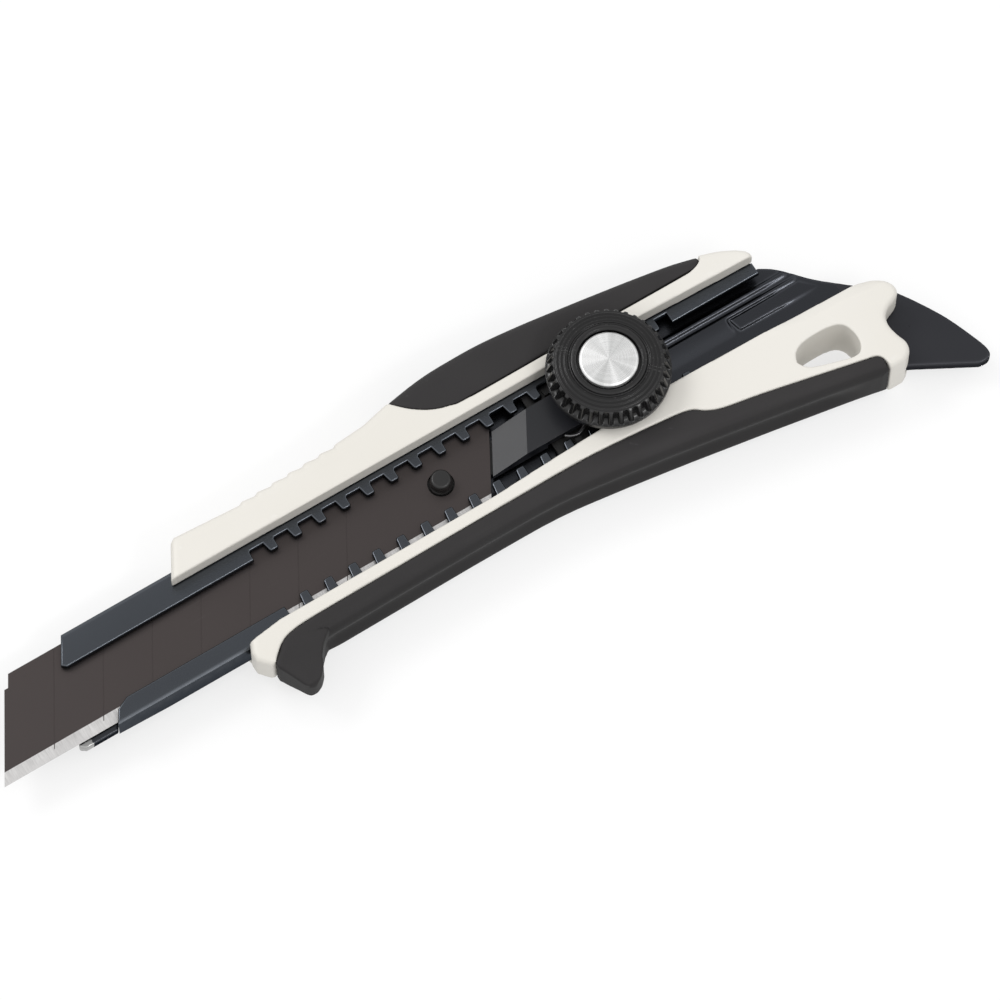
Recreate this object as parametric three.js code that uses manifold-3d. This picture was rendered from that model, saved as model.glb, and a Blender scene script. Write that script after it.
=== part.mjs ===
// Snap-off knife with an 18 mm segmented blade, a steel blade holder that runs on into a flat
// pry fin, and a screw-lock dial. The knife lies on its back: +X runs from the blade's tip to
// the fin, +Y towards the blade's spine, +Z out of the dial side. The origin is on the flat
// back of the handle, on the blade's centreline. Millimetres.
import * as THREE from "three";
import { mergeVertices } from "three/addons/utils/BufferGeometryUtils.js";
import Module from "manifold-3d";

const wasm = await Module();
wasm.setup();

// ---- Driving dimensions ----
const GAP = 0.3; // between a part and the one moulded or fitted against it

// Blade: the standard large snap-off size.
const BLADE_LENGTH = 100;
const BLADE_WIDTH = 18;
const BLADE_THICK = 0.5;
const SNAP_ANGLE = THREE.MathUtils.degToRad(60);
const SEGMENT = 10;
const SCORES = 7;
const SCORE_DEPTH = 0.09;
const SCORE_WIDTH = 0.16;
const CHIP_DEPTH = 0.75; // the small step where the last segment broke off, at the spine
const CHIP_HEIGHT = 2.3;
const BEVEL = 2.3;
const BLADE_TIP_X = -100;
const BLADE_BOTTOM = 5.9;
const BLADE_TOP = BLADE_BOTTOM + BLADE_THICK;
const PIN_X = -5.3;
const PIN_Y = -0.4;
const PIN_HOLE_R = 2.45;

// Holder: a folded steel channel whose lips cover the blade's two edges.
const SHEET = 1.0;
const BEND = 0.9;
const CHANNEL_HALF = 10.2;
const CHANNEL_INSIDE = CHANNEL_HALF - SHEET + 0.05;
const CHANNEL_BOTTOM = 2.3;
const LIP_TOP = 7.8;
const LIP_BOTTOM = LIP_TOP - SHEET;
const CHANNEL_FRONT_X = -77.6; // of the lower wall, at its foot
const CHANNEL_BACK_X = 64.8;
const CORNER_X = 50; // the channel's rear upper corner is cut off from here
const CORNER_DROP = 3.8;
const WIDE_LIP_END_X = -41.3;
const TOOTH_PITCH = 5;
const TEETH = 17;
const UPPER_LIP_Y = 4.2;
const UPPER_TIP_Y = 4.1;
const UPPER_ROOT_Y = 6.1;
const LOWER_LIP_Y = -6.2;
const LOWER_TIP_Y = -5.5;
const LOWER_ROOT_Y = -8.1;
const REAR_LIP_Y = 4.0;
const REAR_LOWER_LIP_Y = -7.4;

// Spine plate: the flat steel core, from the tongue under the blade to the fin.
const PLATE_BOTTOM = 3.45;
const PLATE_TOP = 4.75;
const PAD_BOTTOM = 4.0;
const PAD_TOP = 5.75;
const PAD_BACK_X = -37;
const FIN_BOTTOM = 2.9;
const FIN_TOP = 5.1;
const FIN_START_X = 64.9;
const FIN_FULL_X = 73;
const RAIL_FRONT_X = 36;
const RAIL_TOP = 5.35;

// Handle.
const HANDLE_TOP = 11.4;
const FLOOR = 2.0;
const RIDGE_Y = 7.3; // inner edge of the upper ridge at its front
const SHELL_ROUND = 1.2;
const GRIP_ROUND = 2.6;
const GRIP_CORE_TOP = 9.4; // the shell's core inside the upper grip
const RIDGE_SERRATIONS = 7;
const SERRATION_PITCH = 3.3;
const SERRATION_HEIGHT = 0.45;

// Screws that hold the channel and the plate in the handle, driven from the back.
const SCREWS_X = [-32, 14, 57];
const SCREW_R = 1.4;
const SCREW_HOLE_R = 1.5;
const SCREW_HEAD_R = 2.9;
const SCREW_TIP_Z = 4.3;

// Dial and its clamp.
const DIAL_X = 30.1;
const STUD_R = 2.5;
const DIAL_BOTTOM = 12.9;
const DIAL_R = 11.3;
const DIAL_TOP_R = 10.2;
const SCALLOPS = 36;
const CAP_R = 5.3;
const CAP_TOP = 18.4;
const CLAMP_BOTTOM = 5.5;
const CLAMP_TOP = 6.2;
const PEG_TOP = 6.75;
const PEG_NOTCHES = [12, 13]; // the notches between the lips' teeth that the pegs stand in
const SPRING_R = 3.4;
const SPRING_TURNS = 2;
const SPRING_BOTTOM = 6.25;
const SPRING_TOP = 7.95;

// ---- Materials ----
const finish = (color, roughness, metalness) =>
  new THREE.MeshStandardMaterial({ color, roughness, metalness });
const shellPlastic = finish(0xf0eee9, 0.45, 0);
const elastomer = finish(0x3a3a3d, 0.75, 0);
const coatedSteel = finish(0x26292e, 0.4, 0.6);
const bladeSteel = finish(0x4d4846, 0.45, 0.7);
const blackPlastic = finish(0x222326, 0.45, 0);
const brightSteel = finish(0xc9ccce, 0.25, 1);
const brass = finish(0xb89a55, 0.35, 1);

// ---- Solids ----
function solid(geometry) {
  const loose = geometry.index ? geometry.toNonIndexed() : geometry;
  const bare = new THREE.BufferGeometry();
  bare.setAttribute("position", loose.getAttribute("position"));
  const merged = mergeVertices(bare, 1e-4);
  const source = merged.index.array;
  const triVerts = [];
  for (let i = 0; i < source.length; i += 3) {
    const [a, b, c] = source.slice(i, i + 3);
    if (a !== b && b !== c && c !== a) triVerts.push(a, b, c);
  }
  const vertProperties = merged.attributes.position.array;
  const mesh = new wasm.Mesh({ numProp: 3, vertProperties, triVerts: new Uint32Array(triVerts) });
  return new wasm.Manifold(mesh);
}

function meshOf(name, body, material) {
  const { numProp, vertProperties, triVerts } = body.getMesh();
  const positions = new Float32Array((vertProperties.length / numProp) * 3);
  for (let i = 0; i * numProp < vertProperties.length; i++) {
    positions.set(vertProperties.subarray(i * numProp, i * numProp + 3), i * 3);
  }
  const geometry = new THREE.BufferGeometry();
  geometry.setAttribute("position", new THREE.BufferAttribute(positions, 3));
  geometry.setIndex(new THREE.BufferAttribute(triVerts, 1));
  geometry.computeVertexNormals();
  const mesh = new THREE.Mesh(geometry, material);
  mesh.name = name;
  return mesh;
}

function box(x0, x1, y0, y1, z0, z1) {
  const geometry = new THREE.BoxGeometry(x1 - x0, y1 - y0, z1 - z0);
  return solid(geometry.translate((x0 + x1) / 2, (y0 + y1) / 2, (z0 + z1) / 2));
}

function rod(x, y, z0, z1, r, sides = 32) {
  const geometry = new THREE.CylinderGeometry(r, r, z1 - z0, sides);
  return solid(geometry.rotateX(Math.PI / 2).translate(x, y, (z0 + z1) / 2));
}

// A turned body: the profile is [radius, height] pairs from axis to axis.
function turned(x, y, profile, sides = 48) {
  const points = profile.map(([r, z]) => new THREE.Vector2(r, z));
  return solid(new THREE.LatheGeometry(points, sides).rotateX(Math.PI / 2).translate(x, y, 0));
}

const shapeOf = (points) => new THREE.Shape(points.map(([x, y]) => new THREE.Vector2(x, y)));

// A plan outline raised from z0 to z1, with its upper and lower edges rounded by `round`.
function slab(points, z0, z1, round = 0, steps = 3) {
  const geometry = new THREE.ExtrudeGeometry(shapeOf(points), {
    depth: z1 - z0 - 2 * round,
    bevelEnabled: round > 0,
    bevelThickness: round,
    bevelSize: round,
    bevelOffset: -round,
    bevelSegments: steps,
  });
  return solid(geometry.translate(0, 0, z0 + round));
}

// A section in the Y-Z plane drawn out along X.
function drawn(section, x0, x1) {
  const settings = { depth: x1 - x0, bevelEnabled: false };
  const geometry = new THREE.ExtrudeGeometry(shapeOf(section), settings);
  return solid(geometry.rotateY(Math.PI / 2).rotateX(Math.PI / 2).translate(x0, 0, 0));
}

// A section in the X-Z plane drawn out along Y.
function drawnAcross(section, y0, y1) {
  const settings = { depth: y1 - y0, bevelEnabled: false };
  const geometry = new THREE.ExtrudeGeometry(shapeOf(section), settings);
  return solid(geometry.rotateX(Math.PI / 2).translate(0, y1, 0));
}

// Points on a smooth curve through the given ones.
function smooth(points, steps = 4) {
  const curve = new THREE.SplineCurve(points.map(([x, y]) => new THREE.Vector2(x, y)));
  return curve.getPoints(steps * (points.length - 1)).map((p) => [p.x, p.y]);
}

// The same line moved sideways, to the left of its direction when d is positive.
function offset(points, d) {
  return points.map(([x, y], i) => {
    const [ax, ay] = points[Math.max(i - 1, 0)];
    const [bx, by] = points[Math.min(i + 1, points.length - 1)];
    const length = Math.hypot(bx - ax, by - ay);
    return [x - (d * (by - ay)) / length, y + (d * (bx - ax)) / length];
  });
}

// X on a line at the snap angle that passes through (x0, y0).
const slanted = (x0, y0, y) => x0 + (y - y0) / Math.tan(SNAP_ANGLE);

// ---- Blade ----
function makeBlade() {
  const edge = -BLADE_WIDTH / 2;
  const spine = BLADE_WIDTH / 2;
  const middle = (BLADE_BOTTOM + BLADE_TOP) / 2;
  const section = [
    [edge, middle], [edge + BEVEL, BLADE_BOTTOM], [spine, BLADE_BOTTOM],
    [spine, BLADE_TOP], [edge + BEVEL, BLADE_TOP],
  ];
  const outline = [
    [BLADE_TIP_X, edge],
    [BLADE_TIP_X + BLADE_LENGTH, edge],
    [slanted(BLADE_TIP_X + BLADE_LENGTH, edge, spine), spine],
    [slanted(BLADE_TIP_X + CHIP_DEPTH, edge, spine), spine],
    [slanted(BLADE_TIP_X + CHIP_DEPTH, edge, spine - CHIP_HEIGHT), spine - CHIP_HEIGHT],
    [slanted(BLADE_TIP_X, edge, spine - CHIP_HEIGHT), spine - CHIP_HEIGHT],
  ];
  let blade = drawn(section, BLADE_TIP_X - 1, 20).intersect(slab(outline, 5, 7));
  for (let i = 1; i <= SCORES; i++) {
    const x = BLADE_TIP_X + i * SEGMENT;
    const low = slanted(x, edge, edge - 1);
    const high = slanted(x, edge, spine + 1);
    const groove = [
      [low, edge - 1], [low + SCORE_WIDTH, edge - 1],
      [high + SCORE_WIDTH, spine + 1], [high, spine + 1],
    ];
    blade = blade.subtract(slab(groove, BLADE_TOP - SCORE_DEPTH, BLADE_TOP + 1));
  }
  return blade.subtract(rod(PIN_X, PIN_Y, 5, 7, PIN_HOLE_R, 24));
}

// ---- Holder ----
// One lip's free edge, front to back: a plain front stretch, then a tooth every pitch.
function lipEdge(front, lip, root, tip, rear) {
  const side = Math.sign(root);
  const points = [[front, lip], [WIDE_LIP_END_X, lip]];
  for (let i = 0; i < TEETH; i++) {
    const x = WIDE_LIP_END_X + i * TOOTH_PITCH;
    points.push([x + 0.1, root - 0.3 * side], [x + 0.35, root], [x + 3, root]);
    points.push([x + 3.35, tip + 0.3 * side], [x + 3.6, tip]);
    points.push([x + 4.9, tip], [x + 5.1, tip + 0.25 * side]);
  }
  const end = WIDE_LIP_END_X + TEETH * TOOTH_PITCH;
  points.push([end + 0.15, root], [end + 2.6, root], [end + 2.6, rear], [CHANNEL_BACK_X + 5, rear]);
  return points;
}

// The folded sheet's section: floor, walls and lips, with a chamfered bend at each corner.
function channelSection() {
  const out = CHANNEL_HALF;
  const inn = CHANNEL_INSIDE;
  const part = BEND * 0.3;
  return [
    [-out, CHANNEL_BOTTOM + BEND], [-out + part, CHANNEL_BOTTOM + part],
    [-out + BEND, CHANNEL_BOTTOM], [out - BEND, CHANNEL_BOTTOM],
    [out - part, CHANNEL_BOTTOM + part], [out, CHANNEL_BOTTOM + BEND],
    [out, LIP_TOP - BEND], [out - part, LIP_TOP - part], [out - BEND, LIP_TOP],
    [1, LIP_TOP], [1, LIP_BOTTOM], [inn, LIP_BOTTOM],
    [inn, CHANNEL_BOTTOM + SHEET], [-inn, CHANNEL_BOTTOM + SHEET],
    [-inn, LIP_BOTTOM], [-2, LIP_BOTTOM], [-2, LIP_TOP], [-out + BEND, LIP_TOP],
    [-out + part, LIP_TOP - part],
  ];
}

function makeBladeHolder() {
  let holder = drawn(channelSection(), -84, CHANNEL_BACK_X);
  const upper = lipEdge(-90, UPPER_LIP_Y, UPPER_ROOT_Y, UPPER_TIP_Y, REAR_LIP_Y);
  const lower = lipEdge(-90, LOWER_LIP_Y, LOWER_ROOT_Y, LOWER_TIP_Y, REAR_LOWER_LIP_Y);
  const between = [...lower, ...upper.reverse()];
  holder = holder.subtract(slab(between, LIP_BOTTOM - 0.5, LIP_TOP + 1));

  // Slanted front ends, with the lips' corners rounded off.
  const upperFront = [
    [-90, 0], [-78.6, 0], [-79.5, UPPER_LIP_Y], [-80.4, UPPER_LIP_Y + 0.7],
    [slanted(-80.4, UPPER_LIP_Y + 0.7, 12), 12], [-90, 12],
  ];
  const lowerFront = [
    [-90, -12], [slanted(CHANNEL_FRONT_X, -CHANNEL_HALF, -12), -12],
    [slanted(CHANNEL_FRONT_X, -CHANNEL_HALF, -7.4), -7.4],
    [-73.6, LOWER_LIP_Y], [-73.6, 0], [-90, 0],
  ];
  holder = holder.subtract(slab(upperFront, -1, 9));
  holder = holder.subtract(slab(lowerFront, -1, 9));

  // The side walls get shallower towards the front, where the channel has no floor.
  const sweep = [[-90, -1], [-51, -1], [-51, 2.2], [-79, 3.9], [-90, 3.9]];
  const half = CHANNEL_INSIDE - 0.01;
  holder = holder.subtract(drawnAcross(sweep, -12, 12));
  holder = holder.subtract(box(-90, -50, -half, half, 0, CHANNEL_BOTTOM + SHEET + 0.1));

  // The rear upper corner is cut off, so that it stays inside the ridge.
  const corner = [
    [CORNER_X, CHANNEL_HALF], [CHANNEL_BACK_X, CHANNEL_HALF - CORNER_DROP],
    [CHANNEL_BACK_X + 2, CHANNEL_HALF - CORNER_DROP], [CHANNEL_BACK_X + 2, 12], [CORNER_X, 12],
  ];
  holder = holder.subtract(slab(corner, 0, 9));
  for (const x of SCREWS_X) holder = holder.subtract(rod(x, 0, 0, 5, SCREW_HOLE_R, 16));
  return holder;
}

// ---- Spine plate ----
function makeSpinePlate() {
  const side = CHANNEL_HALF - SHEET - 0.25;
  const tongueY = -10.1;
  const wallEnd = (y) => slanted(CHANNEL_FRONT_X, -CHANNEL_HALF, y) - 0.15;
  const pad = [
    [-84.2, tongueY], [wallEnd(tongueY), tongueY], [wallEnd(-side), -side],
    [PAD_BACK_X, -side], [PAD_BACK_X, side], [slanted(-85.2, -9.3, side), side], [-85.2, -9.3],
  ];
  const shoulder = smooth([[66, 6], [68.9, 3.9], [73.1, -1], [78.2, -5.6], [84.4, -11.1]]);
  const finBack = smooth([
    [84.4, -11.1], [86.7, -14.9], [89.5, -20.4], [91.7, -26.6], [92.4, -29.3],
  ]);
  const finTip = smooth([[92.4, -29.3], [92.2, -30.4], [91.1, -31.2], [89.4, -31]], 2);
  const outline = [
    [-44, side], [CORNER_X + 0.8, side], [66, 6], ...shoulder.slice(1), ...finBack.slice(1),
    ...finTip.slice(1), [78.6, -24.9], [75.2, -23.2], [75, -14], [73, -11], [64, -side],
    [-44, -side],
  ].reverse();
  const carrierGroove = box(-90, 20, -3.9, 2.7, PLATE_TOP, 7);
  let plate = slab(pad, PAD_BOTTOM, PAD_TOP).subtract(carrierGroove);
  plate = plate.add(slab(outline, PLATE_BOTTOM, PLATE_TOP));
  // The fin is thicker, and its top rises slowly to that.
  const fin = outline.filter(([x]) => x > FIN_START_X);
  const finFront = [[FIN_START_X, 6.3], [FIN_START_X, -9]];
  const above = [
    [FIN_START_X - 1, PLATE_TOP + 0.02], [FIN_START_X, PLATE_TOP + 0.02],
    [FIN_FULL_X, FIN_TOP + 0.01], [FIN_FULL_X, 6], [FIN_START_X - 1, 6],
  ];
  const thick = slab([...fin, ...finFront], FIN_BOTTOM, FIN_TOP);
  plate = plate.add(thick.subtract(drawnAcross(above, -14, 9)));
  plate = plate.add(makePressings());
  for (const x of SCREWS_X) {
    plate = plate.subtract(rod(x, 0, 0, SCREW_TIP_Z + 0.1, SCREW_HOLE_R, 16));
  }
  return plate;
}

// What is pressed up out of the plate behind the dial: a narrow guide rail, a land that falls
// away to the edge side, the thin rib that it runs on in, and a low panel.
function makePressings() {
  const foot = 4.6;
  const shoulder = RAIL_TOP - 0.2;
  const rail = [
    [2.1, foot], [3.0, foot], [3.0, shoulder], [2.8, RAIL_TOP], [2.3, RAIL_TOP], [2.1, shoulder],
  ];
  const land = [
    [-3.2, foot], [1.0, foot], [1.0, RAIL_TOP - 0.1], [0.8, RAIL_TOP], [-0.2, RAIL_TOP - 0.05],
    [-1.3, RAIL_TOP - 0.2], [-2.4, RAIL_TOP - 0.42], [-3.2, PLATE_TOP + 0.02],
  ];
  const rib = [[0.3, foot], [1.0, foot], [1.0, RAIL_TOP - 0.1], [0.8, RAIL_TOP], [0.3, RAIL_TOP]];
  const panel = [[56.6, -2.7], [73.2, -2.9], [70.6, -0.2], [56, -0.2]];
  const pressings = [
    drawn(rail, RAIL_FRONT_X, 69.4),
    drawn(land, RAIL_FRONT_X, 55.4),
    drawn(rib, 55, 70.4),
    slab(panel, foot, FIN_TOP + 0.1),
  ];
  return pressings.reduce((all, one) => all.add(one));
}

// ---- Handle ----
// Where the grips' tops meet the white shell, front to back.
const upperSeam = smooth([
  [-5.8, 15.9], [-3.4, 13.4], [-0.4, 11.3], [3, 10.1], [7.5, 9.6], [30, 9.6], [50, 9.5],
  [54, 9.7], [56, 10.6], [56.4, 11.8],
]);
const lowerSeam = smooth([
  [-48.6, -15.9], [-47.6, -14.8], [-45.7, -13.2], [-43.2, -12.3], [-38, -11.9], [-18, -11.7],
  [8, -11.5], [20, -11.7], [33, -12.7], [38.6, -13.5], [40.9, -15], [44, -16.3], [52, -17.8],
  [64, -20.4], [70.5, -21.8], [72.8, -22.4], [73.6, -23.8], [73.6, -26],
]);

// The handle's long outer curves seen from above: along the spine side, and along the edge side.
const spineSide = smooth([
  [-12, 15.1], [-6, 16.5], [1.4, 17.7], [8, 18], [14.4, 17.9], [22, 17.2], [29, 16.3],
  [37, 15.2], [45, 14], [52, 12.8], [57, 11.5], [60.2, 10.4], [62.9, 9],
], 3);
const edgeSide = smooth([
  [74.4, -25.5], [68, -24.2], [56, -22.1], [44, -20.1], [32, -18.2], [20, -16.5], [10, -15.4],
  [-2, -15.2], [-20, -15.3], [-34, -15.5],
], 3);

// The inner edges of the lower beam and of the upper ridge, which the channel shows between.
const beamEdge = [
  [-70, -10], [-50, -10], [-44, -9.2], [0, -9.2], [10, -8.7], [24, -8.1], [38, -7.3],
  [56, -7.65], [79, -8.1],
];
const ridgeEdge = [[79, 6.2], [64, 6.2], [56, 6.4], [41, 6.8], [20, 7.2], [-70, RIDGE_Y]];

// What is cut away under the finger guard, where the handle's back rises towards the front.
function frontRise() {
  const side = [
    [-54, -1], [-31, -1], [-31, 0], [-33, 0.4], [-38, 2.2], [-43, 3.8], [-48, 4.4], [-54, 4.6],
  ];
  return drawnAcross(side, -30, -GAP - CHANNEL_HALF);
}

// The whole handle seen from above, both grips included, clockwise from the ridge's front.
function handleOutline() {
  const ridgeFront = [[-56.3, RIDGE_Y], [-52.7, 13.6], [-51.8, 14.3], [-40, 13.6]];
  const serrations = [];
  for (let i = 0; i < RIDGE_SERRATIONS; i++) {
    const x = -38.6 + i * SERRATION_PITCH;
    const y = 13.5 + 0.11 * i;
    serrations.push([x, y], [x + 0.6, y + SERRATION_HEIGHT]);
  }
  const ridgeBack = [[64.3, 7.9], [64.8, 7], [64.8, 6]];
  const shoulder = smooth([[67.5, 3.4], [72.3, -1.9], [75.6, -5.7], [77.2, -7.6]], 3);
  const hook = smooth([
    [78.2, -8], [80.3, -8.7], [82.2, -10.2], [83.2, -12], [83, -13.4], [81.8, -14.4],
    [79.9, -15.2], [78.6, -16.4], [78.1, -18.2], [78.4, -20.4], [79, -22.6], [78.4, -24.4],
    [76.8, -25.5],
  ], 3);
  const front = [[-49, -16.4], [-51.4, -13.6], [-51.4, -11.8], [-50.6, -10.2]];
  return [...ridgeFront, ...serrations, ...spineSide, ...ridgeBack, ...shoulder, ...hook,
    ...edgeSide, ...front];
}

// The finger guard: a blunt spur that thins towards its tip.
function makeGuard() {
  const plan = [
    [-49, -16], [-45.9, -21.2], [-45.3, -21.9], [-44.4, -22], [-43, -21.3], [-41.8, -20],
    [-40.9, -18.2], [-39.6, -16.7], [-37.5, -15], [-44, -12.5],
  ].reverse();
  const side = [
    [-23, 5], [-21.6, 8.9], [-17, 11.3], [-12, HANDLE_TOP], [-12, 0], [-15.5, 0.4], [-20, 2.4],
  ];
  return slab(plan, 0, HANDLE_TOP, 0.6, 2).intersect(drawn(side, -52, -35));
}

// A grip's rounded outside, before it is cut along its seam.
const gripBlank = (outline) => slab(outline, 0, HANDLE_TOP, GRIP_ROUND, 4);

function makeUpperGrip() {
  const inner = offset(upperSeam, GAP / 2);
  const region = [...inner, [57.2, 20], [-8, 20]];
  const seat = offset(upperSeam, 2.9).filter(([x]) => x > -3 && x < 53);
  const hollow = [[-3.2, 5], ...seat.map(([x, y]) => [x, Math.min(y, 12.4)]), [58, 12.4], [58, 5]];
  const blank = gripBlank([[-15, 14], ...spineSide, [70, 0], [-15, 0]]);
  const grip = blank.intersect(slab(region.reverse(), -1, 12));
  return grip.subtract(slab(hollow.reverse(), -1, GRIP_CORE_TOP + GAP));
}

function makeLowerGrip() {
  const inner = offset(lowerSeam, -GAP / 2);
  const region = [...inner, [73.3, -30], [-54, -30], [-54, -20]];
  const blank = gripBlank([[80, -5], [80, -26.6], ...edgeSide, [-49.2, -15.5], [-54, -5]]);
  const grip = blank.add(makeGuard()).intersect(slab(region.reverse(), -1, 12));
  return grip.subtract(frontRise());
}

function makeHandleBody() {
  let body = slab(handleOutline(), 0, HANDLE_TOP, SHELL_ROUND, 3);

  // Room for the grips.
  const upperRoom = [...offset(upperSeam, -GAP / 2), [57, 25], [-12, 25]];
  const lowerRoom = [...offset(lowerSeam, GAP / 2), [73.9, -30], [-60, -30], [-60, -15.6]];
  const seat = offset(upperSeam, 2.6).filter(([x]) => x > -3 && x < 53);
  const core = [
    [-2.9, 5], ...seat.map(([x, y]) => [x, Math.min(y, 12.1)]), [57.7, 12.1], [57.7, 5],
  ];
  const coreSolid = slab(core.reverse(), -2, GRIP_CORE_TOP);
  body = body.subtract(slab(upperRoom.reverse(), -1, 12).subtract(coreSolid));
  body = body.subtract(slab(lowerRoom.reverse(), -1, 12));

  // The channel's seat, open above between ridge and beam, and everything forward of it.
  const seatHalf = CHANNEL_HALF + GAP;
  const channelSeat = [
    [-70, -seatHalf], [CHANNEL_BACK_X + GAP, -seatHalf],
    [CHANNEL_BACK_X + GAP, seatHalf - CORNER_DROP], [CORNER_X + GAP, seatHalf], [-70, seatHalf],
  ];
  body = body.subtract(slab(channelSeat, FLOOR, LIP_TOP + GAP));
  const open = [...beamEdge, ...ridgeEdge];
  body = body.subtract(slab(open, FLOOR, 13)).subtract(frontRise());

  // The slot that the spine plate passes through on its way to the fin.
  const slot = [
    [64, -9.6], [72.7, -11.4], [74.6, -14.2], [74.8, -23.4], [79, -25.6], [99, -34],
    [99, 9], [CHANNEL_BACK_X + GAP, 6.7], [64, 6.7],
  ];
  body = body.subtract(slab(slot, FIN_BOTTOM - GAP, FIN_TOP + GAP));

  // Strap hole.
  const strap = smooth([
    [60, -15.8], [61, -14], [63.4, -13], [68, -12.9], [70.8, -13.8], [71.8, -16.2],
    [71.5, -18.8], [69.9, -20.2], [66, -19.3], [61.4, -17.7], [60, -15.8],
  ]);
  body = body.subtract(slab(strap.slice(0, -1).reverse(), -1, 13));
  for (const x of SCREWS_X) {
    body = body.subtract(rod(x, 0, -1, 3, SCREW_HOLE_R + 0.1, 16));
    body = body.subtract(rod(x, 0, -1, 1.1, SCREW_HEAD_R + GAP, 24));
  }
  return body;
}

// A pan-head screw driven in from the back.
function makeHandleScrew(x) {
  const profile = [[0, 0.3], [2.4, 0.3], [SCREW_HEAD_R, 0.6], [SCREW_HEAD_R, 1], [0, 1]];
  const head = turned(x, 0, profile, 24);
  const shank = rod(x, 0, 0.9, SCREW_TIP_Z, SCREW_R, 16);
  const recess = box(x - 1.5, x + 1.5, -0.3, 0.3, 0, 0.75);
  const across = box(x - 0.3, x + 0.3, -1.5, 1.5, 0, 0.75);
  return head.add(shank).subtract(recess).subtract(across);
}

// ---- Slider ----
const BLOCK_FRONT_X = 3.2;
const BLOCK_BACK_X = 40.5;
const BLOCK_TOP = 8.4;
const BLOCK_LOW_Y = -4.3;
const BLOCK_HIGH_Y = 3.3;
const RAMP_START = 6.9; // the block's height at its front
const RAMP_LENGTH = 7.2;
const BOSS_R = 6;
const BOSS_TOP = 12.4;

function makeSliderBlock() {
  const plan = [
    [BLOCK_FRONT_X, BLOCK_LOW_Y], [BLOCK_BACK_X, BLOCK_LOW_Y], [BLOCK_BACK_X, BLOCK_HIGH_Y],
    [slanted(BLOCK_FRONT_X, BLOCK_LOW_Y, BLOCK_HIGH_Y), BLOCK_HIGH_Y],
  ];
  let block = slab(plan, 5.8, BLOCK_TOP);
  // The ramp at the front falls to the blade's level along the snap angle.
  const cut = [
    [-20, RAMP_START], [0, RAMP_START], [RAMP_LENGTH, BLOCK_TOP], [RAMP_LENGTH, 10], [-20, 10],
  ];
  const lean = new THREE.Matrix4().makeShear(0, 0, 1 / Math.tan(SNAP_ANGLE), 0, 0, 0);
  lean.setPosition(slanted(BLOCK_FRONT_X, BLOCK_LOW_Y, 0), 0, 0);
  block = block.subtract(drawnAcross(cut, -10, 10).transform(lean.elements));
  const boss = [[0, 8], [BOSS_R, 8], [BOSS_R, BOSS_TOP - 0.6], [BOSS_R - 0.5, BOSS_TOP], [0, BOSS_TOP]];
  block = block.add(turned(DIAL_X, 0, boss, 40));
  block = block.subtract(box(14.8, 50, -10, 10, 5, PEG_TOP + 0.1));
  block = block.subtract(rod(DIAL_X, 0, 0, SPRING_TOP + 0.05, SPRING_R + 0.5, 24));
  return block.subtract(rod(DIAL_X, 0, 0, 20, STUD_R + 0.2, 24));
}

function makeSliderCarrier() {
  const strip = [[-8, -3.4], [12, -3.4], [12, 2.4], [-8, 2.4], [-9.2, 1.2], [-9.2, -2.2]];
  return slab(strip, PLATE_TOP + 0.2, 5.7);
}

function makeBladePin() {
  const profile = [[0, 5.75], [2.2, 5.75], [2.2, 6.6], [1.9, 6.9], [1.9, 8.5], [1.5, 8.9], [0, 8.9]];
  return turned(PIN_X, PIN_Y, profile, 24);
}

// A round wire of radius r along a curve.
function wire(route, r, steps, sides) {
  const section = new THREE.Shape().absarc(0, 0, r, 0, 2 * Math.PI);
  const settings = { steps, curveSegments: sides, extrudePath: route };
  return solid(new THREE.ExtrudeGeometry(section, settings));
}

// A bent wire whose loop clicks along the lip's teeth. It runs just above them.
function makeClickSpring() {
  const z = LIP_TOP + 0.4;
  const plan = [[18, -4.75], [18.9, -5.4], [20.2, -5.75], [21.4, -5.35], [22.3, -4.75]];
  const route = new THREE.CatmullRomCurve3(plan.map(([x, y]) => new THREE.Vector3(x, y, z)));
  return wire(route, 0.3, 12, 8);
}

// A short coil around the stud that pushes the clamp plate off the lips.
function makeReleaseSpring() {
  const points = [];
  for (let i = 0; i <= 30; i++) {
    const turn = (i / 30) * SPRING_TURNS * 2 * Math.PI;
    const x = DIAL_X + SPRING_R * Math.cos(turn);
    const y = SPRING_R * Math.sin(turn);
    const z = SPRING_BOTTOM + 0.25 + (i / 30) * (SPRING_TOP - SPRING_BOTTOM - 0.5);
    points.push(new THREE.Vector3(x, y, z));
  }
  return wire(new THREE.CatmullRomCurve3(points), 0.2, 36, 6);
}

// ---- Clamp ----
function makeClampPlate() {
  const plan = [[15.6, -8.6], [37, -8.6], [38, -7.6], [38, 6.6], [37, 7.6], [15.6, 7.6]];
  let plate = slab(plan, CLAMP_BOTTOM, CLAMP_TOP);
  for (const notch of PEG_NOTCHES) {
    const x0 = WIDE_LIP_END_X + notch * TOOTH_PITCH + 0.7;
    const x1 = x0 + 1.3;
    const foot = CLAMP_TOP - 0.1;
    plate = plate.add(box(x0, x1, UPPER_TIP_Y + 0.2, UPPER_ROOT_Y - 0.6, foot, PEG_TOP));
    plate = plate.add(box(x0, x1, LOWER_ROOT_Y + 0.6, LOWER_TIP_Y - 0.2, foot, PEG_TOP));
  }
  return plate.subtract(rod(DIAL_X, 0, 0, 10, 1.9, 24));
}

function makeClampStud() {
  const profile = [
    [0, 5.55], [1.6, 5.55], [1.6, 6.3], [STUD_R, 6.3], [STUD_R, 15.9], [2.1, 16.3], [0, 16.3],
  ];
  return turned(DIAL_X, 0, profile, 24);
}

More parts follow.
